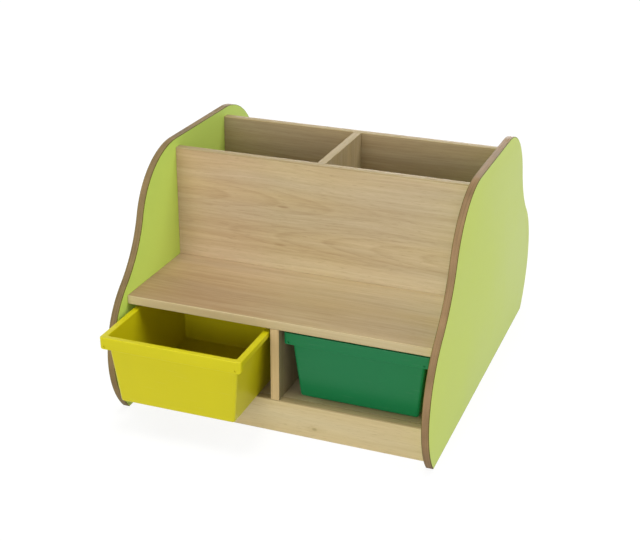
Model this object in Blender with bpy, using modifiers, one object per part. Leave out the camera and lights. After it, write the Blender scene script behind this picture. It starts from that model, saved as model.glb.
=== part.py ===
"""Double-sided children's bench with book bins between two backrests and tray bays under the seats.

Metres, +Z up. The front of the bench faces -Y. Sizes below are measured from the mid-plane between
the two backrests; one empty then shifts everything so that the world origin is the middle of the
footprint, the drawn-out tray included.
"""

import math

import bmesh
import bpy
from mathutils import Matrix, Vector

# Clearance kept between pieces that touch
GAP = 0.0003

# Carcass boards
BOARD = 0.019
INNER_WIDTH = 0.666
SEAT_HEIGHT = 0.256
SEAT_DEPTH = 0.245
BACKREST_HEIGHT = 0.251
BIN_DEPTH = 0.232
SHELF_HEIGHT = 0.075
PLINTH_FLOOR_CLEARANCE = 0.001
BAND = 0.002
BAND_ROUND = 0.0015
BAND_ARC_STEP = math.radians(30)

# Wave-shaped sides: a shoulder, a hollow waist, a round belly and a foot, each one tangent arc
SIDE_BOARD = 0.016
SIDE_RISE = 0.020
TOP_FLAT_PAST_BIN = 0.013
SHOULDER_RADIUS = 0.174
WAIST_RADIUS = 0.266
BELLY_RADIUS = 0.193
BELLY_BELOW_SEAT = 0.126
BELLY_REACH = 0.070
FOOT_REACH = 0.0196
SIDE_EDGE_EASE = 0.0012
ARC_STEP = math.radians(6)

# Moulded trays
TRAY_SIDE_CLEARANCE = 0.00725
TRAY_HEADROOM = 0.0087
TRAY_RECESS = 0.0115
TRAY_STOP_CLEARANCE = 0.003
TRAY_WALL = 0.0025
TRAY_FLOOR = 0.003
TRAY_RIM_THICKNESS = 0.003
TRAY_RIM_OVERHANG = 0.011
TRAY_LIP_OVERHANG = 0.0105
TRAY_SIDE_TAPER = 0.016
TRAY_FRONT_TAPER = 0.0145
TRAY_SKIRT_THICKNESS = 0.0025
TRAY_SKIRT_DROP = 0.0115
TRAY_LIP_DROP = 0.026
TRAY_LIP_DRAFT = 0.001
TRAY_EAR_DEPTH = 0.012
TRAY_EAR_SLOPE = 0.003
TRAY_EAR_ROUND = 0.004
TRAY_WALL_CORNER = 0.0065
TRAY_RIM_CORNER = 0.006
TRAY_BASE_ROUND = 0.004
TRAY_FLOOR_ROUND = 0.003
TRAY_EDGE_ROUND = 0.0016
TRAY_CORNER_STEPS = 5
TRAY_ROUND_STEPS = 2

# How the two trays stand in their bays: the yellow one is drawn out and slightly askew
YELLOW_DRAWN_OUT = 0.155
YELLOW_SIDE_SHIFT = 0.0055
YELLOW_TURN = math.radians(0.45)
GREEN_SIDE_SHIFT = -0.0015

# Wooden dowels
DOWEL_RADIUS = 0.004
DOWEL_IN_FACE = 0.011
DOWEL_IN_EDGE = 0.019
DOWEL_CHAMFER = 0.001
DOWEL_SIDES = 10
DOWEL_HOLE_SLACK = 0.001
DOWEL_INSET = 0.080
BACKREST_DOWEL_INSET = 0.060
TRAY_DIVIDER_DOWEL_INSET = 0.070

# Sizes that follow from the ones above
HALF_INNER = INNER_WIDTH / 2
HALF_DEPTH = BIN_DEPTH / 2 + BOARD + SEAT_DEPTH
BACKREST_TOP = SEAT_HEIGHT + BACKREST_HEIGHT
BACKREST_MIDDLE = (BIN_DEPTH + BOARD) / 2
SIDE_HEIGHT = BACKREST_TOP + SIDE_RISE
BELLY_HEIGHT = SEAT_HEIGHT - BELLY_BELOW_SEAT
SEAT_UNDERSIDE = SEAT_HEIGHT - BOARD
BAY_WIDTH = (INNER_WIDTH - BOARD) / 2
BAY_DEPTH = HALF_DEPTH - BOARD / 2
BAY_MIDDLE = (BAY_WIDTH + BOARD) / 2
TRAY_DEPTH = BAY_DEPTH - TRAY_RECESS - TRAY_STOP_CLEARANCE
TRAY_HEIGHT = SEAT_UNDERSIDE - SHELF_HEIGHT - TRAY_HEADROOM - GAP
TRAY_RIM_HALF = BAY_WIDTH / 2 - TRAY_SIDE_CLEARANCE
TRAY_FRONT = TRAY_RECESS - HALF_DEPTH
YELLOW_FRONT = TRAY_FRONT - YELLOW_DRAWN_OUT
YELLOW_CORNER = YELLOW_FRONT - TRAY_RIM_HALF * abs(math.sin(YELLOW_TURN))
FOOTPRINT_FRONT = min(YELLOW_CORNER, -HALF_DEPTH - BELLY_REACH)
FOOTPRINT_REAR = HALF_DEPTH + BELLY_REACH
ORIGIN_SHIFT = -(FOOTPRINT_FRONT + FOOTPRINT_REAR) / 2

# Finish of each kind of surface: base colour, roughness, metallic
LOOKS = {
    "lime": ((0.52, 0.66, 0.12), 0.40, 0.0),
    "beech": ((0.56, 0.42, 0.25), 0.45, 0.0),
    "edge_band": ((0.66, 0.52, 0.33), 0.40, 0.0),
    "yellow_plastic": ((0.68, 0.60, 0.03), 0.35, 0.0),
    "green_plastic": ((0.02, 0.20, 0.09), 0.35, 0.0),
    "dowel_wood": ((0.60, 0.44, 0.26), 0.70, 0.0),
}


def clear_scene():
    for old in list(bpy.data.objects):
        bpy.data.objects.remove(old, do_unlink=True)


def new_collection(name):
    collection = bpy.data.collections.new(name)
    bpy.context.scene.collection.children.link(collection)
    return collection


def finish(name, look):
    """A material for one piece, in the finish that its kind of surface has."""
    colour, roughness, metallic = LOOKS[look]
    material = bpy.data.materials.new(name)
    material.use_nodes = True
    shader = material.node_tree.nodes["Principled BSDF"]
    shader.inputs["Base Color"].default_value = (*colour, 1.0)
    shader.inputs["Roughness"].default_value = roughness
    shader.inputs["Metallic"].default_value = metallic
    material.diffuse_color = (*colour, 1.0)
    return material


def place(name, mesh, look, location=(0, 0, 0), rotation=None):
    """Make a piece of the bench from its mesh, at a place given from the mid-plane."""
    piece = bpy.data.objects.new(name, mesh)
    piece.parent = bench
    piece.location = location
    if rotation is not None:
        piece.rotation_euler = rotation.to_euler()
    mesh.materials.append(finish(name, look))
    parts.objects.link(piece)
    return piece


def mesh_from(bm, name):
    bmesh.ops.recalc_face_normals(bm, faces=bm.faces)
    mesh = bpy.data.meshes.new(name)
    bm.to_mesh(mesh)
    bm.free()
    return mesh


def board(name, low, high, look="beech"):
    """A rectangular board between two corners."""
    low, high = Vector(low), Vector(high)
    bm = bmesh.new()
    bmesh.ops.create_cube(bm, size=1.0)
    bmesh.ops.scale(bm, vec=high - low, verts=bm.verts)
    return place(name, mesh_from(bm, name), look, (low + high) / 2)


def extruded_outline(name, points, thickness):
    """A flat outline given thickness, welded into one closed mesh."""
    curve = bpy.data.curves.new(name, "CURVE")
    curve.dimensions = "2D"
    curve.fill_mode = "BOTH"
    curve.extrude = thickness / 2
    spline = curve.splines.new("POLY")
    spline.points.add(len(points) - 1)
    for spline_point, (across, along) in zip(spline.points, points):
        spline_point.co = (across, along, 0, 1)
    spline.use_cyclic_u = True
    outline = bpy.data.objects.new(name + "_outline", curve)
    bpy.context.scene.collection.objects.link(outline)
    evaluated = outline.evaluated_get(bpy.context.evaluated_depsgraph_get())
    mesh = bpy.data.meshes.new_from_object(evaluated)
    bpy.data.objects.remove(outline)
    bpy.data.curves.remove(curve)
    bm = bmesh.new()
    bm.from_mesh(mesh)
    bpy.data.meshes.remove(mesh)
    bmesh.ops.remove_doubles(bm, verts=bm.verts, dist=0.00001)
    bmesh.ops.dissolve_limit(bm, angle_limit=0.001, verts=bm.verts, edges=bm.edges)
    return mesh_from(bm, name)


def polar(centre, radius, angle):
    return (centre[0] + radius * math.cos(angle), centre[1] + radius * math.sin(angle))


def arc(centre, radius, start, end, longest_step=ARC_STEP):
    """Points along an arc, both ends included."""
    steps = max(2, math.ceil(abs(end - start) / longest_step))
    return [polar(centre, radius, start + (end - start) * step / steps) for step in range(steps + 1)]


def side_outline():
    """Outline of a side in (y, z): foot, belly, waist and shoulder arcs in front, mirrored behind."""
    flat_half = BIN_DEPTH / 2 + TOP_FLAT_PAST_BIN
    shoulder = Vector((-flat_half, SIDE_HEIGHT - SHOULDER_RADIUS))
    belly_front = -HALF_DEPTH - BELLY_REACH
    belly = Vector((belly_front + BELLY_RADIUS, BELLY_HEIGHT))
    # The foot arc drops from the foremost point of the belly to the floor, FOOT_REACH past the plinth
    tuck = BELLY_REACH - FOOT_REACH
    foot_radius = (tuck ** 2 + BELLY_HEIGHT ** 2) / (2 * tuck)
    foot = Vector((belly_front + foot_radius, BELLY_HEIGHT))
    floor_angle = math.pi + math.atan2(BELLY_HEIGHT, foot_radius - tuck)
    # The waist circle touches the other two from outside
    between = belly - shoulder
    along = between.normalized()
    outward = Vector((along.y, -along.x))
    to_shoulder = SHOULDER_RADIUS + WAIST_RADIUS
    to_belly = BELLY_RADIUS + WAIST_RADIUS
    reach = (to_shoulder ** 2 - to_belly ** 2 + between.length_squared) / (2 * between.length)
    waist = shoulder + along * reach + outward * math.sqrt(to_shoulder ** 2 - reach ** 2)
    belly_end = math.atan2(waist.y - belly.y, waist.x - belly.x)
    shoulder_start = math.atan2(waist.y - shoulder.y, waist.x - shoulder.x)
    front = arc(foot, foot_radius, floor_angle, math.pi)
    front += arc(belly, BELLY_RADIUS, math.pi, belly_end)[1:]
    front += arc(waist, WAIST_RADIUS, belly_end - math.pi, shoulder_start - math.pi)[1:]
    front += arc(shoulder, SHOULDER_RADIUS, shoulder_start, math.pi / 2)[1:]
    rear = [(-y, z) for y, z in reversed(front)]
    return front + rear


def side(name, direction):
    """A wave-shaped side; direction is -1 for the left one and 1 for the right one."""
    mesh = extruded_outline(name, side_outline(), SIDE_BOARD)
    # Outline axes (across, along, thickness) become (y, z, x)
    mesh.transform(Matrix(((0, 0, 1, 0), (1, 0, 0, 0), (0, 1, 0, 0), (0, 0, 0, 1))))
    piece = place(name, mesh, "lime", (direction * (HALF_INNER + SIDE_BOARD / 2), 0, 0))
    ease = piece.modifiers.new("eased_edges", "BEVEL")
    ease.width = SIDE_EDGE_EASE
    ease.segments = 2
    ease.limit_method = "ANGLE"
    ease.angle_limit = math.radians(60)
    return piece


def edge_band(name, outward, across, length, outer_face):
    """A glued edge strip with two rounded corners, its outer face centred at outer_face."""
    outward, across = Vector(outward), Vector(across)
    half = BOARD / 2
    round_up = arc((-BAND_ROUND, half - BAND_ROUND), BAND_ROUND, math.pi / 2, 0, BAND_ARC_STEP)
    round_down = [(x, -y) for x, y in reversed(round_up)]
    inner = GAP - BAND
    outline = round_up + round_down + [(inner, -half), (inner, half)]
    mesh = extruded_outline(name, outline, length)
    rotation = Matrix((outward, across, outward.cross(across))).transposed()
    return place(name, mesh, "edge_band", outer_face, rotation)


def build_boards():
    """The flat boards, each one short of its neighbours by the clearance."""
    wide = HALF_INNER - GAP
    seat_end = HALF_DEPTH - BAND
    board("seat_board", (-wide, -seat_end, SEAT_UNDERSIDE), (wide, seat_end, SEAT_HEIGHT))
    shelf_end = HALF_DEPTH - BOARD - GAP
    board("base_shelf", (-wide, -shelf_end, SHELF_HEIGHT - BOARD), (wide, shelf_end, SHELF_HEIGHT))
    bay_low = SHELF_HEIGHT + GAP
    bay_high = SEAT_UNDERSIDE - GAP
    half = BOARD / 2
    board("bay_back", (-wide, -half, bay_low), (wide, half, bay_high))
    bin_low = SEAT_HEIGHT + GAP
    bin_high = BACKREST_TOP - BAND
    bin_end = BIN_DEPTH / 2 - GAP
    board("bin_divider", (-half, -bin_end, bin_low), (half, bin_end, bin_high))
    for name, facing in (("front", -1), ("rear", 1)):
        near, far = sorted((facing * BIN_DEPTH / 2, facing * (BIN_DEPTH / 2 + BOARD)))
        board(name + "_backrest", (-wide, near, bin_low), (wide, far, bin_high))
        near, far = sorted((facing * (HALF_DEPTH - BOARD), facing * HALF_DEPTH))
        plinth_top = SHELF_HEIGHT - BAND
        board(name + "_plinth", (-wide, near, PLINTH_FLOOR_CLEARANCE), (wide, far, plinth_top))
        near, far = sorted((facing * (half + GAP), facing * (HALF_DEPTH - BAND)))
        board(name + "_tray_divider", (-half, near, bay_low), (half, far, bay_high))


def build_edge_bands():
    """Strips on every board edge that shows."""
    up, ahead, sideways = (0, 0, 1), (0, 1, 0), (1, 0, 0)
    width = INNER_WIDTH - 2 * GAP
    bay_height = SEAT_UNDERSIDE - SHELF_HEIGHT - 2 * GAP
    bay_centre = (SEAT_UNDERSIDE + SHELF_HEIGHT) / 2
    seat_centre = SEAT_HEIGHT - BOARD / 2
    edge_band("bin_divider_band", up, sideways, BIN_DEPTH - 2 * GAP, (0, 0, BACKREST_TOP))
    for name, facing in (("front", -1), ("rear", 1)):
        out = (0, facing, 0)
        edge = facing * HALF_DEPTH
        plinth_middle = facing * (HALF_DEPTH - BOARD / 2)
        edge_band(name + "_seat_band", out, up, width, (0, edge, seat_centre))
        edge_band(name + "_tray_divider_band", out, sideways, bay_height, (0, edge, bay_centre))
        edge_band(name + "_backrest_band", up, ahead, width, (0, facing * BACKREST_MIDDLE, BACKREST_TOP))
        edge_band(name + "_plinth_band", up, ahead, width, (0, plinth_middle, SHELF_HEIGHT))


def quarter_turns(steps):
    return [math.pi / 2 * step / steps for step in range(steps + 1)]


def tray_ring(bm, half_width, front, rear, corner, height, lip_height=None):
    """One loop of the tray: a rounded rectangle whose front stretch may hang lower.

    The front stretch runs round both front corners, rising a little, to the ends of the lip's ears.
    """
    lip_height = height if lip_height is None else lip_height
    ear_height = min(height, lip_height + TRAY_EAR_ROUND)
    ear = max(TRAY_EAR_DEPTH, front + corner + TRAY_EAR_SLOPE)
    across = half_width - corner
    right = []
    for turn in quarter_turns(TRAY_CORNER_STEPS):
        rise = (ear_height - lip_height) * (1 - math.cos(turn))
        along = front + corner - corner * math.cos(turn)
        right.append((across + corner * math.sin(turn), along, lip_height + rise))
    right += [(half_width, ear, ear_height), (half_width, ear + TRAY_EAR_SLOPE, height)]
    for turn in quarter_turns(TRAY_CORNER_STEPS):
        along = rear - corner + corner * math.sin(turn)
        right.append((across + corner * math.cos(turn), along, height))
    left = [(-x, y, z) for x, y, z in reversed(right)]
    return [bm.verts.new(point) for point in right + left]


def tray_mesh(name):
    """A tapered tray lofted through level loops, up the outside, over the rim and down the inside.

    Its own frame has the front of the rim at y = 0 and the underside at z = 0.
    """
    bm = bmesh.new()
    rings = []
    top = TRAY_HEIGHT

    def wall(inset, height):
        sunk = 1 - height / top
        side_inset = TRAY_RIM_OVERHANG + TRAY_SIDE_TAPER * sunk + inset
        front = TRAY_LIP_OVERHANG + TRAY_FRONT_TAPER * sunk + inset
        half, rear = TRAY_RIM_HALF - side_inset, TRAY_DEPTH - side_inset
        rings.append(tray_ring(bm, half, front, rear, TRAY_WALL_CORNER - inset, height))

    def rim(inset, height, lip_height=None):
        drop = top - (height if lip_height is None else lip_height)
        front = inset + TRAY_LIP_DRAFT * drop / TRAY_LIP_DROP
        half, rear = TRAY_RIM_HALF - inset, TRAY_DEPTH - inset
        rings.append(tray_ring(bm, half, front, rear, TRAY_RIM_CORNER - inset, height, lip_height))

    turns = quarter_turns(TRAY_ROUND_STEPS)
    # Rounded underside and outer wall
    for turn in turns:
        wall(TRAY_BASE_ROUND * (1 - math.sin(turn)), TRAY_BASE_ROUND * (1 - math.cos(turn)))
    wall(0, top - TRAY_RIM_THICKNESS)
    # Down-turned skirt, deeper along the front lip, whose face has a slight draft
    skirt_low, lip_low = top - TRAY_SKIRT_DROP, top - TRAY_LIP_DROP
    rim(TRAY_SKIRT_THICKNESS, top - TRAY_RIM_THICKNESS)
    rim(TRAY_SKIRT_THICKNESS, skirt_low, lip_low)
    rim(0, skirt_low, lip_low)
    # Rounded top edges of the rim, outside and then inside
    for turn in turns:
        rim(TRAY_EDGE_ROUND * (1 - math.cos(turn)), top - TRAY_EDGE_ROUND * (1 - math.sin(turn)))
    for turn in turns:
        inset = TRAY_WALL - TRAY_EDGE_ROUND * (1 - math.sin(turn))
        wall(inset, top - TRAY_EDGE_ROUND * (1 - math.cos(turn)))
    # Inner wall and rounded floor
    for turn in reversed(turns):
        inset = TRAY_WALL + TRAY_FLOOR_ROUND * (1 - math.sin(turn))
        wall(inset, TRAY_FLOOR + TRAY_FLOOR_ROUND * (1 - math.cos(turn)))

    for lower, upper in zip(rings, rings[1:]):
        for index in range(len(lower)):
            after = (index + 1) % len(lower)
            bm.faces.new((lower[index], lower[after], upper[after], upper[index]))
    bm.faces.new(rings[0])
    bm.faces.new(rings[-1])
    mesh = mesh_from(bm, name)
    mesh.shade_smooth()
    mesh.set_sharp_from_angle(angle=math.radians(40))
    return mesh


def build_trays():
    """Two trays from one mould; each one's origin is on its slide line, under the rim's front."""
    level = SHELF_HEIGHT + GAP
    yellow_at = (YELLOW_SIDE_SHIFT - BAY_MIDDLE, YELLOW_FRONT, level)
    askew = Matrix.Rotation(YELLOW_TURN, 3, "Z")
    place("yellow_tray", tray_mesh("yellow_tray"), "yellow_plastic", yellow_at, askew)
    green_at = (BAY_MIDDLE + GREEN_SIDE_SHIFT, TRAY_FRONT, level)
    place("green_tray", tray_mesh("green_tray"), "green_plastic", green_at)


def dowel_joints():
    """Every dowelled joint: (name, board drilled in its face, board drilled in its end, point, axis).

    The axis points from the face into the end of the other board.
    """
    joints = []

    def add(name, face_board, end_board, point, axis):
        joints.append((name, face_board, end_board, Vector(point), Vector(axis)))

    seat_rows = HALF_DEPTH - DOWEL_INSET
    shelf_rows = HALF_DEPTH - BOARD - DOWEL_INSET
    seat_level = SEAT_HEIGHT - BOARD / 2
    shelf_level = SHELF_HEIGHT - BOARD / 2
    plinth_level = (PLINTH_FLOOR_CLEARANCE + SHELF_HEIGHT) / 2
    bay_level = (SHELF_HEIGHT + SEAT_UNDERSIDE) / 2
    back_levels = (SEAT_HEIGHT + BACKREST_DOWEL_INSET, BACKREST_TOP - BACKREST_DOWEL_INSET)
    for hand, direction in (("left", -1), ("right", 1)):
        wall = direction * HALF_INNER
        inward = (-direction, 0, 0)
        panel = hand + "_side"
        for row, place_along in (("front", -1), ("middle", 0), ("rear", 1)):
            seat_point = (wall, place_along * seat_rows, seat_level)
            add(f"{hand}_{row}_seat_dowel", panel, "seat_board", seat_point, inward)
            shelf_point = (wall, place_along * shelf_rows, shelf_level)
            add(f"{hand}_{row}_shelf_dowel", panel, "base_shelf", shelf_point, inward)
        add(f"{hand}_bay_back_dowel", panel, "bay_back", (wall, 0, bay_level), inward)
        for row, facing in (("front", -1), ("rear", 1)):
            plinth_point = (wall, facing * (HALF_DEPTH - BOARD / 2), plinth_level)
            add(f"{hand}_{row}_plinth_dowel", panel, f"{row}_plinth", plinth_point, inward)
            for height, level in zip(("low", "high"), back_levels):
                back_point = (wall, facing * BACKREST_MIDDLE, level)
                add(f"{hand}_{row}_backrest_{height}_dowel", panel, f"{row}_backrest", back_point, inward)
    for row, facing in (("front", -1), ("rear", 1)):
        for height, level in zip(("low", "high"), back_levels):
            bin_point = (0, facing * BIN_DEPTH / 2, level)
            name = f"{row}_bin_divider_{height}_dowel"
            add(name, f"{row}_backrest", "bin_divider", bin_point, (0, -facing, 0))
        near = BOARD / 2 + TRAY_DIVIDER_DOWEL_INSET
        far = HALF_DEPTH - BOARD - TRAY_DIVIDER_DOWEL_INSET
        for reach, distance in (("inner", near), ("outer", far)):
            foot_point = (0, facing * distance, SHELF_HEIGHT)
            name = f"{row}_tray_divider_{reach}_dowel"
            add(name, "base_shelf", f"{row}_tray_divider", foot_point, (0, 0, 1))
    return joints


def add_cylinder(bm, start, axis, length, radius):
    """Add a capped cylinder that runs from start along axis."""
    turn = Vector((0, 0, 1)).rotation_difference(axis).to_matrix().to_4x4()
    matrix = Matrix.Translation(start + axis * length / 2) @ turn
    bmesh.ops.create_cone(bm, cap_ends=True, segments=DOWEL_SIDES, radius1=radius, radius2=radius,
                          depth=length, matrix=matrix)


def build_dowels():
    """Make each dowel and drill both of its boards."""
    holes = {}
    for name, face_board, end_board, point, axis in dowel_joints():
        bm = bmesh.new()
        length = DOWEL_IN_FACE + DOWEL_IN_EDGE
        add_cylinder(bm, axis * -DOWEL_IN_FACE, axis, length, DOWEL_RADIUS)
        dowel = place(name, mesh_from(bm, name), "dowel_wood", point)
        chamfer = dowel.modifiers.new("chamfered_ends", "BEVEL")
        chamfer.width = DOWEL_CHAMFER
        chamfer.segments = 1
        chamfer.limit_method = "ANGLE"
        chamfer.angle_limit = math.radians(60)
        holes.setdefault(face_board, []).append((point, -axis, DOWEL_IN_FACE))
        holes.setdefault(end_board, []).append((point, axis, DOWEL_IN_EDGE))
    for board_name, drillings in holes.items():
        bm = bmesh.new()
        for point, axis, depth in drillings:
            start = point - axis * DOWEL_HOLE_SLACK
            length = depth + 2 * DOWEL_HOLE_SLACK
            add_cylinder(bm, start, axis, length, DOWEL_RADIUS + GAP)
        drill = bpy.data.objects.new(board_name + "_drillings", mesh_from(bm, board_name + "_drillings"))
        drill.parent = bench
        drill.hide_render = True
        drill.display_type = "WIRE"
        cutters.objects.link(drill)
        cut = bpy.data.objects[board_name].modifiers.new("dowel_holes", "BOOLEAN")
        cut.operation = "DIFFERENCE"
        cut.solver = "EXACT"
        cut.object = drill


clear_scene()
parts = new_collection("bookcase_bench")
cutters = new_collection("cutters")
bench = bpy.data.objects.new("bench_middle", None)
bench.location = (0, ORIGIN_SHIFT, 0)
parts.objects.link(bench)

side("left_side", -1)
side("right_side", 1)
build_boards()
build_edge_bands()
build_trays()
build_dowels()
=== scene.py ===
"""Looks of the double-sided bookcase bench: finishes, smooth sides, edge strips and moulded trays."""
import math
from collections import namedtuple

import bmesh
import bpy
from mathutils import Matrix, Vector


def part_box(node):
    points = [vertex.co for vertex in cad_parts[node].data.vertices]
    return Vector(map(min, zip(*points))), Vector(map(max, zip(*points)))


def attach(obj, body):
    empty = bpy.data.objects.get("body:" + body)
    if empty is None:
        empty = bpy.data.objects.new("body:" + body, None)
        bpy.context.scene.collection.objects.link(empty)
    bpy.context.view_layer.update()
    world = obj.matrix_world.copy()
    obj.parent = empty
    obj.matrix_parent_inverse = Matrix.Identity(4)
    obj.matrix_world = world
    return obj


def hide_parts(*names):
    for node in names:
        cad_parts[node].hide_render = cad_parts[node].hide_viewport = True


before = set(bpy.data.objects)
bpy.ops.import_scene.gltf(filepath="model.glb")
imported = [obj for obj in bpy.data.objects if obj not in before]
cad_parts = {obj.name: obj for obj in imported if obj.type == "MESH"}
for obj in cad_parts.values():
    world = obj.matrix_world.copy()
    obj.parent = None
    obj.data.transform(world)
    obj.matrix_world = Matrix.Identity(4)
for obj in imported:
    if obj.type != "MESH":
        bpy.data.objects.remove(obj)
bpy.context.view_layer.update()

# Camera of the photograph, placed from the middle of the seat's front edge on the floor
IMAGE_WIDTH = 640
FOCAL_PIXELS = 1236.7
SENSOR_MM = 36.0
CAMERA_PLACE = Vector((0.8689, -2.0593, 1.3501))
CAMERA_YAW = math.radians(20.537)
CAMERA_PITCH = math.radians(23.74)
CAMERA_ROLL = math.radians(0.455)

# Light: each sun is (name, direction it comes from, level on a face square to it, angle of its disc)
AMBIENT = 0.14
SUNS = (
    ("front_key", (0.0, -1.0, 0.14), 0.735, math.radians(40)),
    ("top_light", (0.0, -0.12, 1.0), 0.355, math.radians(15)),
    ("over_left", (-1.0, -0.2, 1.6), 0.12, math.radians(30)),
    ("over_right", (1.0, -0.2, 1.6), 0.11, math.radians(30)),
    ("over_bins", (1.0, 0.15, 0.57), 0.25, math.radians(20)),
    ("left_fill", (-1.0, 0.25, 0.25), 0.32, math.radians(40)),
    ("rear_fill", (-0.15, 1.0, 0.05), 0.50, math.radians(30)),
)
FLOOR_HALF = 8.0
FLOOR_ALBEDO = 0.62
FLOOR_SHADOW_SHARE = 0.16
FLOOR_GLOW = 0.88

# Colours in 0 to 255, as they look under plain light, save those noted as painted shade
LIME_OUTSIDE = (209, 226, 102)
# The inside faces get a greener tint of their own: painted shade, set to how they look in the bench's shade
LIME_INSIDE_SHADED = (206, 233, 110)
LAMINATE_LINE = (92, 87, 25)
# The left side's edge is a darker brown than the right's: painted shade
SIDE_EDGES = {"left_side": (129, 109, 75), "right_side": (140, 114, 82)}
BEECH_LIGHT = (204, 186, 148)
BEECH_DARK = (163, 138, 100)
BEECH_PORE = (138, 110, 74)
# Darker beech for the boards of the bins and bays: painted shade
SHADED_LIGHT = (183, 165, 129)
SHADED_DARK = (141, 119, 85)
PLINTH_LIGHT = (213, 197, 155)
PLINTH_DARK = (186, 166, 123)
BAND_LIGHT = (204, 188, 149)
BAND_DARK = (179, 157, 114)
DIVIDER_BAND_LIGHT = (207, 182, 136)
DIVIDER_BAND_DARK = (181, 152, 105)
# Darker tones for the strips that face up: painted shade against the light from above
TOP_BAND_SHADED_LIGHT = (178, 160, 120)
TOP_BAND_SHADED_DARK = (154, 133, 92)
YELLOW = (206, 196, 15)
GREEN = (20, 115, 66)
DOWEL = (200, 174, 134)

# Tints that multiply a wood colour
# Painted shade: rosier and darker at the left ends of the seat and backrest; painted light: paler at their
# right ends
PAINTED_SHADE_BLUSH = (1.01, 0.93, 0.99)
PAINTED_LIGHT_PALER = (1.0, 1.01, 1.11)
# UNSHADED lifts the rear board's outer face back out of the painted shade of the darker beech
UNSHADED = (1.31, 1.29, 1.33)
KNOT = (0.70, 0.68, 0.57)
WARMER = (1.02, 1.0, 0.94)
COOLER = (0.98, 1.0, 1.05)

# A layer is noise with its frequencies per metre along three axes, a seed and the depth of its detail; a
# sparse layer is cut to run from 0 to 1 between two values. A recipe says how much of each layer goes into
# the tone and the roughness, after the middle value of each, and into the relief, whose depth is in metres.
Layer = namedtuple("Layer", "frequencies seed detail cut", defaults=(None,))
Recipe = namedtuple("Recipe", "layers tone roughness relief depth specular")

BEECH = Recipe(
    layers={
        "broad": Layer((0.8, 11.0, 11.0), 0.0, 2.0),
        "streaks": Layer((2.2, 62.0, 62.0), 5.0, 3.0),
        "lines": Layer((4.5, 210.0, 210.0), 7.0, 3.0),
        "fibres": Layer((30.0, 700.0, 700.0), 9.0, 2.0),
        "pores": Layer((45.0, 900.0, 900.0), 13.0, 1.0, cut=(0.62, 0.72)),
        "warmth": Layer((1.3, 16.0, 16.0), 17.0, 2.0),
    },
    tone=(0.5, {"broad": 0.28, "streaks": 0.60, "lines": 0.72, "fibres": 0.40}),
    roughness=(0.46, {"streaks": 0.25, "fibres": 0.15}),
    relief={"fibres": 0.6, "lines": 0.4, "pores": -1.0},
    depth=0.00005,
    specular=0.35,
)
EDGE_STRIP = Recipe(
    layers={
        "broad": Layer((3.0, 40.0, 40.0), 0.0, 2.0),
        "lines": Layer((5.0, 300.0, 300.0), 3.0, 3.0),
        "fibres": Layer((60.0, 1200.0, 1200.0), 5.0, 2.0),
    },
    tone=(0.45, {"broad": 0.9, "lines": 0.9, "fibres": 0.3}),
    roughness=(0.45, {"lines": 0.2}),
    relief={"lines": 1.0},
    depth=0.00005,
    specular=0.06,
)
LAMINATE = Recipe(
    layers={
        "clouds": Layer((5.0, 5.0, 5.0), 2.0, 3.0),
        "grit": Layer((900.0, 900.0, 900.0), 5.0, 2.0),
        "scuffs": Layer((60.0, 18.0, 160.0), 8.0, 3.0, cut=(0.62, 0.78)),
    },
    tone=(1.0, {"clouds": 0.06, "grit": 0.05}),
    roughness=(0.40, {"clouds": 0.12, "grit": 0.10, "scuffs": 0.06}),
    relief={"grit": 1.0},
    depth=0.00003,
    specular=0.09,
)
EASED_LINE = Recipe(
    layers={"specks": Layer((250.0, 250.0, 250.0), 3.0, 2.0)},
    tone=(1.0, {"specks": 0.5}),
    roughness=(0.50, {"specks": 0.2}),
    relief={"specks": 1.0},
    depth=0.00003,
    specular=0.1,
)
BOARD_EDGE = Recipe(
    layers={
        "clouds": Layer((25.0, 16.0, 16.0), 1.0, 2.0),
        "strata": Layer((520.0, 7.0, 7.0), 4.0, 3.0),
        "specks": Layer((1100.0, 500.0, 500.0), 6.0, 2.0),
    },
    tone=(1.0, {"clouds": 0.80, "strata": 0.80, "specks": 0.35}),
    roughness=(0.50, {"clouds": 0.2, "specks": 0.15}),
    relief={"specks": 1.0},
    depth=0.00004,
    specular=0.06,
)
PLASTIC = Recipe(
    layers={
        "flow": Layer((9.0, 9.0, 5.0), 0.0, 3.0),
        "grit": Layer((1300.0, 1300.0, 1300.0), 3.0, 1.0),
        "rubs": Layer((16.0, 120.0, 260.0), 5.0, 3.0, cut=(0.64, 0.80)),
    },
    tone=(1.0, {"flow": 0.10, "grit": 0.06}),
    roughness=(0.40, {"flow": 0.15, "grit": 0.10, "rubs": 0.10}),
    relief={"grit": 1.0},
    depth=0.00004,
    specular=0.24,
)
TURNED_WOOD = Recipe(
    layers={
        "fibres": Layer((300.0, 300.0, 300.0), 2.0, 2.0),
        "flecks": Layer((900.0, 900.0, 900.0), 4.0, 2.0),
    },
    tone=(1.0, {"fibres": 0.25, "flecks": 0.25}),
    roughness=(0.6, {"fibres": 0.2}),
    relief={"fibres": 1.0},
    depth=0.00005,
    specular=0.5,
)

# Noise lies about its middle, and a seed moves it along three axes; boards and strips take seeds in steps
NOISE_MIDDLE = 0.5
SEED_SHIFT = (1.0, 0.7, 1.3)
BOARD_SEED_STEP = 3.7
BAND_SEED_STEP = 2.3

# Beech: how far its grain wanders in metres, the share of its pores, its spread of warmth, and the tone
# across one growth line of an arch
SWAY = 0.020
SWAY_LAYER = Layer((3.0, 6.5, 6.5), 11.0, 1.0)
PORE_SHARE = 0.30
WARMTH_STOPS = ((0.36, WARMER), (0.64, COOLER))
ARCH_STOPS = ((0.0, 0.25), (0.60, 0.45), (0.88, 0.90), (1.0, 0.25))
ARCH_MIDDLE = 0.45
ARCH_SHARE = 0.40

# Plastic: how strongly its rubs show and how pale they are
RUB_SHARE = 0.12
RUB_PALENESS = 0.25

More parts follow.
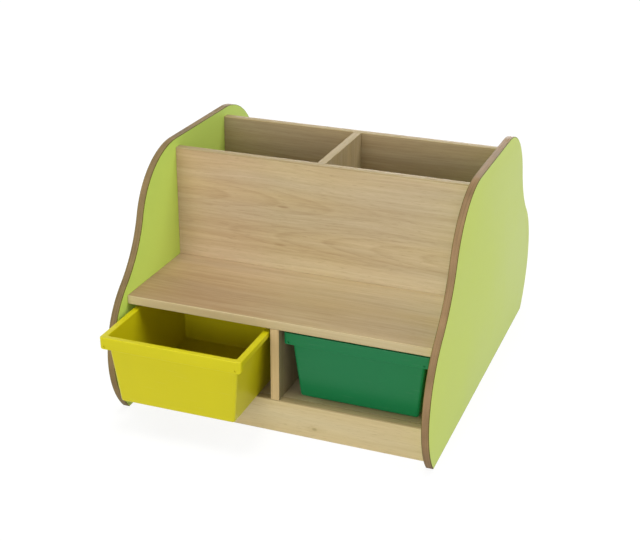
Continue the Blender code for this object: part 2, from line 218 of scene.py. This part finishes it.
# The colour sockets of a Mix node, which share their names with its other sockets
MIX_COLOURS = (6, 7)
MIX_RESULT = 2

# Arches in the backrests' grain: tip and reach in (x, z), then the centre and reach of what shows of them
BACKREST_ARCHES = (
    ((-0.217, 0.334), (0.110, 0.023), (0.06, 0.0, 0.335), (0.40, None, 0.060)),
    ((0.041, 0.411), (-0.120, 0.024), (-0.12, 0.0, 0.415), (0.30, None, 0.050)),
)

# Marks on a board: centre, reach (none along an axis on which it runs on) and darkening. These are the
# backrest's pale top, dark middle and two flecks in its grain, and painted light: its pale foot, lit by the
# seat below, and its pale right end.
BACKREST_MARKS_AND_PAINTED_LIGHT = (
    ((0.0, 0.0, 0.480), (None, None, 0.050), -0.05),
    ((0.0, 0.0, 0.385), (None, None, 0.060), 0.06),
    ((-0.0805, 0.0, 0.4032), (0.016, None, 0.0034), 0.55),
    ((-0.088, 0.0, 0.3135), (0.017, None, 0.0030), 0.42),
    ((0.15, 0.0, 0.268), (0.75, None, 0.028), -0.32),
    ((0.33, 0.0, 0.330), (0.30, None, 0.100), -0.08),
)

# The knot in the plinth: a dark halo, and a tint in its middle
KNOT_PLACE = (0.088, 0.0, 0.0232)
PLINTH_MARKS = ((KNOT_PLACE, (0.030, None, 0.0090), 0.25),)
PLINTH_TINTS = ((KNOT_PLACE, (0.0068, None, 0.0044), KNOT),)

# Wave-shaped sides: tangent arcs as in the solid, in finer steps
BIN_HALF = 0.116
TOP_FLAT_PAST_BIN = 0.013
SHOULDER_RADIUS = 0.174
WAIST_RADIUS = 0.266
BELLY_RADIUS = 0.193
BELLY_HEIGHT = 0.130
FOOT_TUCK = 0.0504
SIDE_EDGE_EASE = 0.0012
SIDE_ARC_STEP = math.radians(1.5)
EASE_STEPS = 4

# Edge strips
BAND_ROUND = 0.0015
BAND_ROUND_STEPS = 6
BAND_GLUE_GAP = 0.0003

# Moulded trays: colour, slot, seed and how far each stands askew, then the sizes of their one mould
TRAYS = {
    "yellow_tray": (YELLOW, "yellow_plastic", 3.0, math.radians(0.45)),
    "green_tray": (GREEN, "green_plastic", 8.0, 0.0),
}
TRAY_WALL = 0.0025
TRAY_FLOOR = 0.003
TRAY_RIM_THICKNESS = 0.003
TRAY_RIM_OVERHANG = 0.011
TRAY_LIP_OVERHANG = 0.0105
TRAY_SIDE_TAPER = 0.016
TRAY_FRONT_TAPER = 0.0145
TRAY_SKIRT_THICKNESS = 0.0025
TRAY_SKIRT_DROP = 0.0115
TRAY_LIP_DROP = 0.026
TRAY_LIP_DRAFT = 0.001
TRAY_EAR_DEPTH = 0.012
TRAY_EAR_SLOPE = 0.003
TRAY_EAR_ROUND = 0.004
TRAY_WALL_CORNER = 0.0065
TRAY_RIM_CORNER = 0.006
TRAY_BASE_ROUND = 0.004
TRAY_FLOOR_ROUND = 0.003
TRAY_EDGE_ROUND = 0.0016
TRAY_HEM_ROUND = 0.0006
TRAY_CORNER_STEPS = 8
TRAY_ROUND_STEPS = 5
EYE_RADIUS = 0.0028
EYE_DEPTH = 0.0018
EYE_FROM_SIDE = 0.0114
EYE_ABOVE_HEM = 0.0065
EYE_SIDES = 20

# Edges that turn by more than this are shaded sharp
SHARP_ANGLE = math.radians(32)


def linear(colour):
    """A colour given in 0 to 255 as the linear values that shaders take."""
    values = [part / 255 for part in colour]
    return tuple(v / 12.92 if v <= 0.04045 else ((v + 0.055) / 1.055) ** 2.4 for v in values)


def grey(level):
    return (level, level, level, 1.0)


class Finish:
    """A material being put together from a recipe, with short calls for the nodes that it uses."""

    def __init__(self, name, recipe):
        self.recipe = recipe
        self.layers = {}
        self.material = bpy.data.materials.new(name)
        self.material.use_nodes = True
        self.tree = self.material.node_tree
        self.shader = self.tree.nodes["Principled BSDF"]

    def node(self, kind, inputs, **settings):
        made = self.tree.nodes.new("ShaderNode" + kind)
        for setting, value in settings.items():
            setattr(made, setting, value)
        for key, value in inputs.items():
            self.put(made.inputs[key], value)
        return made

    def put(self, socket, value):
        if isinstance(value, bpy.types.NodeSocket):
            self.tree.links.new(value, socket)
        else:
            socket.default_value = value

    def calc(self, operation, *values):
        return self.node("Math", dict(enumerate(values)), operation=operation).outputs[0]

    def place(self):
        """Coordinates on the piece, in metres, which go with it when it moves."""
        return self.node("TexCoord", {}).outputs["Object"]

    def along(self, axis):
        """The piece's coordinates with the grain's direction first."""
        split = self.node("SeparateXYZ", {"Vector": self.place()}).outputs
        first = "XYZ".index(axis)
        order = {key: split[(first + key) % 3] for key in range(3)}
        return self.node("CombineXYZ", order).outputs[0]

    def noise(self, place, layer, seed):
        """A layer's noise over the coordinates."""
        shift = [(seed + layer.seed) * part for part in SEED_SHIFT]
        moved = self.node("Mapping", {"Vector": place, "Location": shift, "Scale": layer.frequencies})
        inputs = {"Vector": moved.outputs[0], "Scale": 1.0, "Detail": layer.detail}
        return self.node("TexNoise", inputs).outputs["Fac"]

    def sway(self, grain, seed):
        """Coordinates whose grain wanders sideways."""
        wander = self.calc("SUBTRACT", self.noise(grain, SWAY_LAYER, seed), NOISE_MIDDLE)
        wander = self.calc("MULTIPLY", wander, SWAY)
        shift = self.node("CombineXYZ", {"Y": wander, "Z": wander}).outputs[0]
        return self.node("VectorMath", {0: grain, 1: shift}, operation="ADD").outputs[0]

    def spread(self, place, seed=0.0):
        """Lay the recipe's layers over the coordinates."""
        for name, layer in self.recipe.layers.items():
            value = self.noise(place, layer, seed)
            if layer.cut:
                start, full = layer.cut
                value = self.ramp(value, (start, 0.0), (full, 1.0))
            self.layers[name] = value

    def blend(self, middle, shares):
        """A middle value plus a share of each layer, the layer taken about its own middle."""
        total = middle
        for name, share in shares.items():
            swing = self.calc("SUBTRACT", self.layers[name], NOISE_MIDDLE)
            total = self.calc("ADD", total, self.calc("MULTIPLY", swing, share))
        return total

    def spot(self, place, centre, reach):
        """1 at the centre, falling to 0 at its reach; it runs on for ever on an axis without reach."""
        scale = [0.0 if part is None else 1 / part for part in reach]
        shift = [-middle * part for middle, part in zip(centre, scale)]
        away = self.node("Mapping", {"Vector": place, "Location": shift, "Scale": scale}).outputs[0]
        squared = self.node("VectorMath", {0: away, 1: away}, operation="DOT_PRODUCT").outputs["Value"]
        return self.calc("MAXIMUM", self.calc("SUBTRACT", 1.0, squared), 0.0)

    def arches(self, place, tip, reach):
        """Growth lines that bend round a tip in x and z: reach is (along x, across z)."""
        split = self.node("SeparateXYZ", {"Vector": place}).outputs
        along = self.calc("DIVIDE", self.calc("SUBTRACT", split["X"], tip[0]), reach[0])
        across = self.calc("DIVIDE", self.calc("SUBTRACT", split["Z"], tip[1]), reach[1])
        lines = self.calc("FRACT", self.calc("SUBTRACT", self.calc("MULTIPLY", across, across), along))
        return self.ramp(lines, *ARCH_STOPS)

    def ramp(self, value, *stops):
        """Grey or colour by value: each stop is (position, grey or colour)."""
        made = self.node("ValToRGB", {"Fac": value})
        elements = made.color_ramp.elements
        while len(elements) < len(stops):
            elements.new(0.5)
        for element, (position, shade) in zip(elements, stops):
            element.position = position
            element.color = (*shade, 1.0) if isinstance(shade, tuple) else grey(shade)
        return made.outputs["Color"]

    def mix(self, amount, first, second, blend="MIX"):
        made = self.node("Mix", {"Factor": amount}, data_type="RGBA", blend_type=blend)
        for index, value in zip(MIX_COLOURS, (first, second)):
            self.put(made.inputs[index], (*value, 1.0) if isinstance(value, tuple) else value)
        return made.outputs[MIX_RESULT]

    def done(self, colour):
        """Join the colour and the recipe's roughness, relief and specular level to the shader."""
        height = self.blend(0.0, self.recipe.relief)
        bump = self.node("Bump", {"Height": height, "Distance": self.recipe.depth})
        self.put(self.shader.inputs["Base Color"], colour)
        self.put(self.shader.inputs["Roughness"], self.blend(*self.recipe.roughness))
        self.put(self.shader.inputs["Normal"], bump.outputs[0])
        self.shader.inputs["Specular IOR Level"].default_value = self.recipe.specular
        return self.material


def beech(name, axis, seed, light=BEECH_LIGHT, dark=BEECH_DARK, arches=(), marks=(), tints=()):
    """Satin beech-grain melamine: long soft streaks, fine lines, fibres and pores.

    Arches are (tip, reach, window centre, window reach), marks are (centre, reach, darkening), and
    tints are (centre, reach, tint).
    """
    finish = Finish(name, BEECH)
    place = finish.along(axis)
    grain = finish.sway(place, seed)
    finish.spread(grain, seed)
    tone = finish.blend(*BEECH.tone)
    for tip, reach, centre, window in arches:
        bent = finish.calc("SUBTRACT", finish.arches(grain, tip, reach), ARCH_MIDDLE)
        share = finish.calc("MULTIPLY", finish.spot(place, centre, window), ARCH_SHARE)
        tone = finish.calc("ADD", tone, finish.calc("MULTIPLY", bent, share))
    for centre, reach, darkening in marks:
        mark = finish.calc("MULTIPLY", finish.spot(place, centre, reach), darkening)
        tone = finish.calc("ADD", tone, mark)
    colour = finish.ramp(tone, (0.0, linear(light)), (1.0, linear(dark)))
    warmth = finish.ramp(finish.layers["warmth"], *WARMTH_STOPS)
    colour = finish.mix(1.0, colour, warmth, "MULTIPLY")
    for centre, reach, tint in tints:
        colour = finish.mix(finish.spot(place, centre, reach), colour, tint, "MULTIPLY")
    pores = finish.calc("MULTIPLY", finish.layers["pores"], PORE_SHARE)
    return finish.done(finish.mix(pores, colour, linear(BEECH_PORE)))


def edge_strip(name, axis, seed, light, dark):
    """Pale edge strip with fine lines along it."""
    finish = Finish(name, EDGE_STRIP)
    finish.spread(finish.along(axis), seed)
    tone = finish.blend(*EDGE_STRIP.tone)
    return finish.done(finish.ramp(tone, (0.0, linear(light)), (1.0, linear(dark))))


def tinted(name, recipe, tint, seed=0.0):
    """A finish of one tint, begun from its recipe, and its colour: the tint times the tone."""
    finish = Finish(name, recipe)
    finish.spread(finish.place(), seed)
    return finish, finish.mix(1.0, linear(tint), finish.blend(*recipe.tone), "MULTIPLY")


def lime_laminate(name, tint):
    """Satin lime melamine: a fine pearled surface, faint clouds of tone and light scuffs."""
    finish, colour = tinted(name, LAMINATE, tint)
    return finish.done(colour)


def laminate_line(name):
    """The dark line where the laminate is eased off at the edge."""
    finish, colour = tinted(name, EASED_LINE, LAMINATE_LINE)
    return finish.done(colour)


def varnished_mdf(name, tint):
    """Brown varnished edge of the board: fibre specks, soft strata and a satin varnish."""
    finish, colour = tinted(name, BOARD_EDGE, tint)
    return finish.done(colour)


def moulded_plastic(name, tint, seed):
    """Moulded plastic: fine spark-eroded grain, faint flow clouds and pale rubs."""
    finish, colour = tinted(name, PLASTIC, tint, seed)
    pale = tuple((1 - RUB_PALENESS) * value + RUB_PALENESS for value in linear(tint))
    rubbed = finish.calc("MULTIPLY", finish.layers["rubs"], RUB_SHARE)
    return finish.done(finish.mix(rubbed, colour, pale))


def dowel_wood(name):
    """Plain turned beech for the dowels."""
    finish, colour = tinted(name, TURNED_WOOD, DOWEL)
    return finish.done(colour)


def new_piece(name, bm, materials, body, node):
    """A finished piece that rides on a body in the place of a node; its mesh is in metres in place."""
    bmesh.ops.recalc_face_normals(bm, faces=bm.faces)
    mesh = bpy.data.meshes.new(name)
    bm.to_mesh(mesh)
    bm.free()
    for material in materials:
        mesh.materials.append(material)
    mesh.shade_smooth()
    mesh.set_sharp_from_angle(angle=SHARP_ANGLE)
    piece = bpy.data.objects.new(name, mesh)
    bpy.context.scene.collection.objects.link(piece)
    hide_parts(node)
    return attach(piece, body)


def loft(bm, loops):
    """Join loops of equally many points by quads and close both ends."""
    rings = [[bm.verts.new(point) for point in loop] for loop in loops]
    strips = []
    for lower, upper in zip(rings, rings[1:]):
        strip = []
        for index in range(len(lower)):
            after = (index + 1) % len(lower)
            strip.append(bm.faces.new((lower[index], lower[after], upper[after], upper[index])))
        strips.append(strip)
    caps = [bm.faces.new(rings[0]), bm.faces.new(rings[-1])]
    return strips, caps


def quarter_turns(steps):
    return [math.pi / 2 * step / steps for step in range(steps + 1)]


def quarter_round(radius, steps):
    """Pairs along a quarter circle: the first value falls from the radius to 0, the second rises to it."""
    turns = quarter_turns(steps)
    return [(radius * (1 - math.sin(turn)), radius * (1 - math.cos(turn))) for turn in turns]


def polar(centre, radius, angle):
    return Vector((centre[0] + radius * math.cos(angle), centre[1] + radius * math.sin(angle)))


def arc(centre, radius, start, end):
    steps = max(2, math.ceil(abs(end - start) / SIDE_ARC_STEP))
    return [polar(centre, radius, start + (end - start) * index / steps) for index in range(steps + 1)]


def side_outline(half_depth, height):
    """Outline of a side in (y, z) from its middle: foot, belly, waist and shoulder, mirrored behind."""
    flat_half = BIN_HALF + TOP_FLAT_PAST_BIN
    shoulder = Vector((-flat_half, height - SHOULDER_RADIUS))
    belly = Vector((BELLY_RADIUS - half_depth, BELLY_HEIGHT))
    foot_radius = (FOOT_TUCK ** 2 + BELLY_HEIGHT ** 2) / (2 * FOOT_TUCK)
    foot = Vector((foot_radius - half_depth, BELLY_HEIGHT))
    floor_angle = math.pi + math.atan2(BELLY_HEIGHT, foot_radius - FOOT_TUCK)
    between = belly - shoulder
    along = between.normalized()
    outward = Vector((along.y, -along.x))
    to_shoulder = SHOULDER_RADIUS + WAIST_RADIUS
    to_belly = BELLY_RADIUS + WAIST_RADIUS
    reach = (to_shoulder ** 2 - to_belly ** 2 + between.length_squared) / (2 * between.length)
    waist = shoulder + along * reach + outward * math.sqrt(to_shoulder ** 2 - reach ** 2)
    belly_end = math.atan2(waist.y - belly.y, waist.x - belly.x)
    shoulder_start = math.atan2(waist.y - shoulder.y, waist.x - shoulder.x)
    front = arc(foot, foot_radius, floor_angle, math.pi)
    front += arc(belly, BELLY_RADIUS, math.pi, belly_end)[1:]
    front += arc(waist, WAIST_RADIUS, belly_end - math.pi, shoulder_start - math.pi)[1:]
    front += arc(shoulder, SHOULDER_RADIUS, shoulder_start, math.pi / 2)[1:]
    return front + [Vector((-point.x, point.y)) for point in reversed(front)]


def inset_outline(outline, inset):
    """The outline moved inwards; it runs clockwise seen from +X, so inwards is to its right."""
    moved = []
    for index, point in enumerate(outline):
        before = (point - outline[index - 1]).normalized()
        after = (outline[(index + 1) % len(outline)] - point).normalized()
        normals = [Vector((way.y, -way.x)) for way in (before, after)]
        mitre = normals[0] + normals[1]
        mitre = mitre * (2 / mitre.length_squared)
        moved.append(point + mitre * inset)
    return moved


def make_side(name):
    """A wave-shaped side with eased edges: lime faces, a dark line and a brown edge."""
    low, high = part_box(name)
    middle = (low + high) / 2
    half = (high.x - low.x) / 2
    outline = side_outline((high.y - low.y) / 2, high.z - low.z)
    eased = quarter_round(SIDE_EDGE_EASE, EASE_STEPS)
    sections = [(inset, drop - half) for inset, drop in eased]
    sections += [(inset, half - drop) for inset, drop in reversed(eased)]
    loops = []
    for inset, across in sections:
        points = inset_outline(outline, inset)
        loops.append([(middle.x + across, middle.y + point.x, low.z + point.y) for point in points])
    bm = bmesh.new()
    strips, caps = loft(bm, loops)
    outside_index, inside_index, line_index, edge_index = range(4)
    for index, strip in enumerate(strips):
        for face in strip:
            face.material_index = edge_index if index == EASE_STEPS else line_index
    outside, inside = caps if middle.x < 0 else reversed(caps)
    outside.material_index = outside_index
    inside.material_index = inside_index
    finishes = (
        lime_laminate(name + "_outside", LIME_OUTSIDE),
        # the inside tint is painted shade
        lime_laminate(name + "_inside", LIME_INSIDE_SHADED),
        laminate_line(name + "_line"),
        varnished_mdf(name + "_edge", SIDE_EDGES[name]),
    )
    new_piece(name + "_panel", bm, finishes, "carcass", name)


def make_band(name, out, across, along, seed):
    """An edge strip in its node's place, glued to its board, with its two outer corners rounded."""
    low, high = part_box(name)
    out_axis, across_axis, along_axis = ("XYZ".index(axis) for axis in (out[-1], across, along))
    outward = -1 if out[0] == "-" else 1
    front, back = (low, high) if outward < 0 else (high, low)
    face = front[out_axis]
    glued = back[out_axis] - outward * BAND_GLUE_GAP
    rounding = quarter_round(BAND_ROUND, BAND_ROUND_STEPS)
    profile = [(glued, low[across_axis])]
    for drop, inset in rounding:
        profile.append((face - outward * drop, low[across_axis] + inset))
    for drop, inset in reversed(rounding):
        profile.append((face - outward * drop, high[across_axis] - inset))
    profile.append((glued, high[across_axis]))
    loops = []
    for end in (low[along_axis], high[along_axis]):
        loop = []
        for out_place, across_place in profile:
            point = [0.0, 0.0, 0.0]
            point[out_axis] = out_place
            point[across_axis] = across_place
            point[along_axis] = end
            loop.append(point)
        loops.append(loop)
    bm = bmesh.new()
    loft(bm, loops)
    tones = (BAND_LIGHT, BAND_DARK)
    if "tray_divider" in name:
        tones = (DIVIDER_BAND_LIGHT, DIVIDER_BAND_DARK)
    # Strips that face up take darker tones: painted shade
    elif out == "+Z":
        tones = (TOP_BAND_SHADED_LIGHT, TOP_BAND_SHADED_DARK)
    finish = edge_strip(name + "_finish", along, seed, *tones)
    new_piece(name + "_strip", bm, [finish], "carcass", name)


def tray_loop(half, front, rear, corner, level, lip_level=None):
    """One loop round a tray: a rounded rectangle whose front stretch may hang lower, up to its ears."""
    lip_level = level if lip_level is None else lip_level
    ear_level = min(level, lip_level + TRAY_EAR_ROUND)
    ear = max(TRAY_EAR_DEPTH, front + corner + TRAY_EAR_SLOPE)
    across = half - corner
    right = []
    for turn in quarter_turns(TRAY_CORNER_STEPS):
        x, y = across + corner * math.sin(turn), front + corner - corner * math.cos(turn)
        right.append((x, y, lip_level + (ear_level - lip_level) * (1 - math.cos(turn))))
    right += [(half, ear, ear_level), (half, ear + TRAY_EAR_SLOPE, level)]
    for turn in quarter_turns(TRAY_CORNER_STEPS):
        right.append((across + corner * math.cos(turn), rear - corner + corner * math.sin(turn), level))
    return right + [(-x, y, z) for x, y, z in reversed(right)]


def tray_loops(half, depth, height):
    """The loops of a tray from under its floor, up the wall, over the rim and down its inside.

    Its own frame has the front of the rim at y = 0 and the underside at z = 0.
    """
    loops = []

    def wall(inset, level):
        sunk = 1 - level / height
        side = TRAY_RIM_OVERHANG + TRAY_SIDE_TAPER * sunk + inset
        front = TRAY_LIP_OVERHANG + TRAY_FRONT_TAPER * sunk + inset
        loops.append(tray_loop(half - side, front, depth - side, TRAY_WALL_CORNER - inset, level))

    def rim(inset, level, lip_level=None):
        drop = height - (level if lip_level is None else lip_level)
        front = inset + TRAY_LIP_DRAFT * drop / TRAY_LIP_DROP
        corner = TRAY_RIM_CORNER - inset
        loops.append(tray_loop(half - inset, front, depth - inset, corner, level, lip_level))

    for inset, rise in quarter_round(TRAY_BASE_ROUND, TRAY_ROUND_STEPS):
        wall(inset, rise)
    wall(0, height - TRAY_RIM_THICKNESS)
    rim(TRAY_SKIRT_THICKNESS, height - TRAY_RIM_THICKNESS)
    skirt_low, lip_low = height - TRAY_SKIRT_DROP, height - TRAY_LIP_DROP
    rim(TRAY_SKIRT_THICKNESS, skirt_low, lip_low)
    rim(TRAY_HEM_ROUND, skirt_low, lip_low)
    rim(0, skirt_low + TRAY_HEM_ROUND, lip_low + TRAY_HEM_ROUND)
    rim_edge = quarter_round(TRAY_EDGE_ROUND, TRAY_ROUND_STEPS)
    for drop, inset in rim_edge:
        rim(inset, height - drop)
    for outset, drop in rim_edge:
        wall(TRAY_WALL - outset, height - drop)
    for inset, rise in reversed(quarter_round(TRAY_FLOOR_ROUND, TRAY_ROUND_STEPS)):
        wall(TRAY_WALL + inset, TRAY_FLOOR + rise)
    return loops


def cut_eyes(piece, half, height, place):
    """Sink the two small round eyes into the ears of the lip."""
    level = height - TRAY_LIP_DROP + EYE_ABOVE_HEM
    face = TRAY_LIP_DRAFT * (1 - EYE_ABOVE_HEM / TRAY_LIP_DROP)
    upright = Matrix.Rotation(math.pi / 2, 4, "X")
    bm = bmesh.new()
    for side in (-1, 1):
        middle = Matrix.Translation((side * (half - EYE_FROM_SIDE), face, level))
        bmesh.ops.create_cone(bm, cap_ends=True, segments=EYE_SIDES, radius1=EYE_RADIUS, radius2=EYE_RADIUS,
                              depth=2 * EYE_DEPTH, matrix=place @ middle @ upright)
    mesh = bpy.data.meshes.new("eyes")
    bm.to_mesh(mesh)
    bm.free()
    cutter = bpy.data.objects.new("eyes", mesh)
    bpy.context.scene.collection.objects.link(cutter)
    cut = piece.modifiers.new("eyes", "BOOLEAN")
    cut.operation = "DIFFERENCE"
    cut.object = cutter
    evaluated = piece.evaluated_get(bpy.context.evaluated_depsgraph_get())
    piece.data = bpy.data.meshes.new_from_object(evaluated)
    piece.data.set_sharp_from_angle(angle=SHARP_ANGLE)
    piece.modifiers.clear()
    bpy.data.objects.remove(cutter)


def make_tray(name, tint, slot, seed, askew):
    """A tray in the place of its node; both come from one mould, and the yellow one stands askew."""
    low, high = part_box("green_tray")
    size = high - low
    half = size.x / 2
    low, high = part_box(name)
    turn = Matrix.Rotation(askew, 4, "Z")
    middle = (low + high) / 2
    middle.z = low.z
    place = Matrix.Translation(middle) @ turn @ Matrix.Translation((0, -size.y / 2, 0))
    bm = bmesh.new()
    loft(bm, tray_loops(half, size.y, size.z))
    bmesh.ops.transform(bm, matrix=place, verts=bm.verts)
    finish = moulded_plastic(name + "_finish", tint, seed)
    piece = new_piece(name + "_moulding", bm, [finish], name, name)
    cut_eyes(piece, half, size.z, place)


def board_looks():
    """The axis of each board's grain, and its tones, arches, marks and tints, some of them painted light
    and shade.
    """
    low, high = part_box("seat_board")
    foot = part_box("front_backrest")[0].y
    rear_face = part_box("rear_backrest")[1].y
    shelf_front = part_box("base_shelf")[0].y
    seat = {
        # Painted shade darkens the front left corner and front edge; painted light makes it pale along the
        # backrest and most at its right end
        "marks": (
            ((low.x, low.y, 0.0), (0.36, 0.28, None), 0.36),
            ((0.0, low.y, 0.0), (None, 0.17, None), 0.12),
            ((0.0, foot, 0.0), (None, 0.12, None), -0.12),
            ((high.x, foot, 0.0), (0.25, 0.12, None), -0.12),
        ),
        # painted shade at the seat's left end, painted light at its right end
        "tints": (
            ((low.x, 0.0, 0.0), (0.34, None, None), PAINTED_SHADE_BLUSH),
            ((high.x, 0.0, 0.0), (0.25, None, None), PAINTED_LIGHT_PALER),
        ),
    }
    backrest = {
        "arches": BACKREST_ARCHES,
        "marks": BACKREST_MARKS_AND_PAINTED_LIGHT,
        # painted shade at the backrest's left end, painted light at its right end
        "tints": (
            ((low.x, 0.0, 0.0), (0.24, None, None), PAINTED_SHADE_BLUSH),
            ((high.x, 0.0, 0.0), (0.30, None, None), PAINTED_LIGHT_PALER),
        ),
    }
    # The shaded tones paint shade into the insides of bins and bays: the rear board's outer face is
    # lightened back out of it, and painted light makes the shelf pale round the foot of the tray divider
    shaded = {"light": SHADED_LIGHT, "dark": SHADED_DARK}
    rear_face_unshaded = (((0.0, rear_face, 0.0), (None, 0.012, None), UNSHADED),)
    # Painted light: the shelf is paler round the foot of the tray divider
    shelf_painted_light = (((0.0, shelf_front, 0.0), (0.10, 0.18, None), -0.9),)
    plinth = {"light": PLINTH_LIGHT, "dark": PLINTH_DARK}
    return {
        "seat_board": ("X", seat),
        "base_shelf": ("X", {"marks": shelf_painted_light, **shaded}),
        "bay_back": ("X", {}),
        "front_backrest": ("X", backrest),
        "rear_backrest": ("X", {"arches": BACKREST_ARCHES, "tints": rear_face_unshaded, **shaded}),
        "front_plinth": ("X", {"marks": PLINTH_MARKS, "tints": PLINTH_TINTS, **plinth}),
        "rear_plinth": ("X", plinth),
        "bin_divider": ("Z", {}),
        "front_tray_divider": ("Z", shaded),
        "rear_tray_divider": ("Z", shaded),
    }


def dress_boards():
    """Give the boards that keep their solids a beech finish of their own, and the dowels plain wood."""
    for seed, (name, (axis, looks)) in enumerate(board_looks().items()):
        set_finish(name, beech(name + "_finish", axis, BOARD_SEED_STEP * seed, **looks))
    plain = dowel_wood("dowel_finish")
    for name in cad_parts:
        if name.endswith("_dowel"):
            set_finish(name, plain)


def set_finish(name, material):
    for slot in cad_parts[name].material_slots:
        slot.material = material


def make_bands():
    """The strips on the board edges: which way each faces, its width and its length."""
    strips = {"bin_divider_band": ("+Z", "X", "Y")}
    for row, facing in (("front", "-Y"), ("rear", "+Y")):
        strips[row + "_seat_band"] = (facing, "Z", "X")
        strips[row + "_tray_divider_band"] = (facing, "X", "Z")
        strips[row + "_backrest_band"] = ("+Z", "Y", "X")
        strips[row + "_plinth_band"] = ("+Z", "Y", "X")
    for seed, (name, (out, across, along)) in enumerate(strips.items()):
        make_band(name, out, across, along, BAND_SEED_STEP * seed)


def make_camera():
    """The photograph's camera."""
    low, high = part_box("front_seat_band")
    origin = Vector(((low.x + high.x) / 2, low.y, 0))
    forward = Vector((-math.sin(CAMERA_YAW) * math.cos(CAMERA_PITCH),
                      math.cos(CAMERA_YAW) * math.cos(CAMERA_PITCH),
                      -math.sin(CAMERA_PITCH)))
    right = Vector((math.cos(CAMERA_YAW), math.sin(CAMERA_YAW), 0))
    up = right.cross(forward)
    rolled_right = right * math.cos(CAMERA_ROLL) + up * math.sin(CAMERA_ROLL)
    rolled_up = up * math.cos(CAMERA_ROLL) - right * math.sin(CAMERA_ROLL)
    data = bpy.data.cameras.new("photo_camera")
    data.sensor_fit = "HORIZONTAL"
    data.sensor_width = SENSOR_MM
    data.lens = FOCAL_PIXELS / IMAGE_WIDTH * SENSOR_MM
    camera = bpy.data.objects.new("photo_camera", data)
    turn = Matrix((rolled_right, rolled_up, -forward)).transposed().to_4x4()
    camera.matrix_world = Matrix.Translation(origin + CAMERA_PLACE) @ turn
    bpy.context.scene.collection.objects.link(camera)
    bpy.context.scene.camera = camera


def seen_directly(tree):
    """1 for rays from the camera and for those that a mirror or glass sends on, else 0."""
    path = tree.nodes.new("ShaderNodeLightPath")
    total = path.outputs["Is Camera Ray"]
    for name in ("Is Glossy Ray", "Is Transmission Ray"):
        both = tree.nodes.new("ShaderNodeMath")
        both.operation = "MAXIMUM"
        tree.links.new(total, both.inputs[0])
        tree.links.new(path.outputs[name], both.inputs[1])
        total = both.outputs[0]
    return total


def make_floor():
    """A pale floor that looks white and keeps a light shadow of the bench."""
    bpy.ops.mesh.primitive_plane_add(size=2 * FLOOR_HALF)
    floor = bpy.context.object
    floor.name = "floor"
    material = bpy.data.materials.new("floor_finish")
    material.use_nodes = True
    tree = material.node_tree
    tree.nodes.clear()
    lit = tree.nodes.new("ShaderNodeBsdfDiffuse")
    lit.inputs["Color"].default_value = grey(FLOOR_ALBEDO)
    shown = tree.nodes.new("ShaderNodeBsdfDiffuse")
    shown.inputs["Color"].default_value = grey(FLOOR_SHADOW_SHARE)
    glow = tree.nodes.new("ShaderNodeEmission")
    glow.inputs["Strength"].default_value = FLOOR_GLOW
    both = tree.nodes.new("ShaderNodeAddShader")
    tree.links.new(shown.outputs[0], both.inputs[0])
    tree.links.new(glow.outputs[0], both.inputs[1])
    choose = tree.nodes.new("ShaderNodeMixShader")
    tree.links.new(seen_directly(tree), choose.inputs[0])
    tree.links.new(lit.outputs[0], choose.inputs[1])
    tree.links.new(both.outputs[0], choose.inputs[2])
    output = tree.nodes.new("ShaderNodeOutputMaterial")
    tree.links.new(choose.outputs[0], output.inputs["Surface"])
    floor.data.materials.append(material)


def make_light():
    """Even light from all round and a few wide suns; the surroundings look white."""
    world = bpy.data.worlds.new("studio")
    bpy.context.scene.world = world
    world.use_nodes = True
    tree = world.node_tree
    tree.nodes.clear()
    ambient = tree.nodes.new("ShaderNodeBackground")
    ambient.inputs["Strength"].default_value = AMBIENT
    white = tree.nodes.new("ShaderNodeBackground")
    choose = tree.nodes.new("ShaderNodeMixShader")
    tree.links.new(seen_directly(tree), choose.inputs[0])
    tree.links.new(ambient.outputs[0], choose.inputs[1])
    tree.links.new(white.outputs[0], choose.inputs[2])
    for background in (ambient, white):
        background.inputs["Color"].default_value = grey(1.0)
    output = tree.nodes.new("ShaderNodeOutputWorld")
    tree.links.new(choose.outputs[0], output.inputs["Surface"])
    for name, direction, level, disc in SUNS:
        data = bpy.data.lights.new(name, "SUN")
        data.energy = level * math.pi
        data.angle = disc
        sun = bpy.data.objects.new(name, data)
        sun.rotation_euler = Vector(direction).to_track_quat("Z", "Y").to_euler()
        bpy.context.scene.collection.objects.link(sun)


make_camera()
make_floor()
make_light()
bpy.context.scene.view_settings.view_transform = "Standard"
dress_boards()
make_bands()
for side_name in SIDE_EDGES:
    make_side(side_name)
for tray_name, tray_looks in TRAYS.items():
    make_tray(tray_name, *tray_looks)
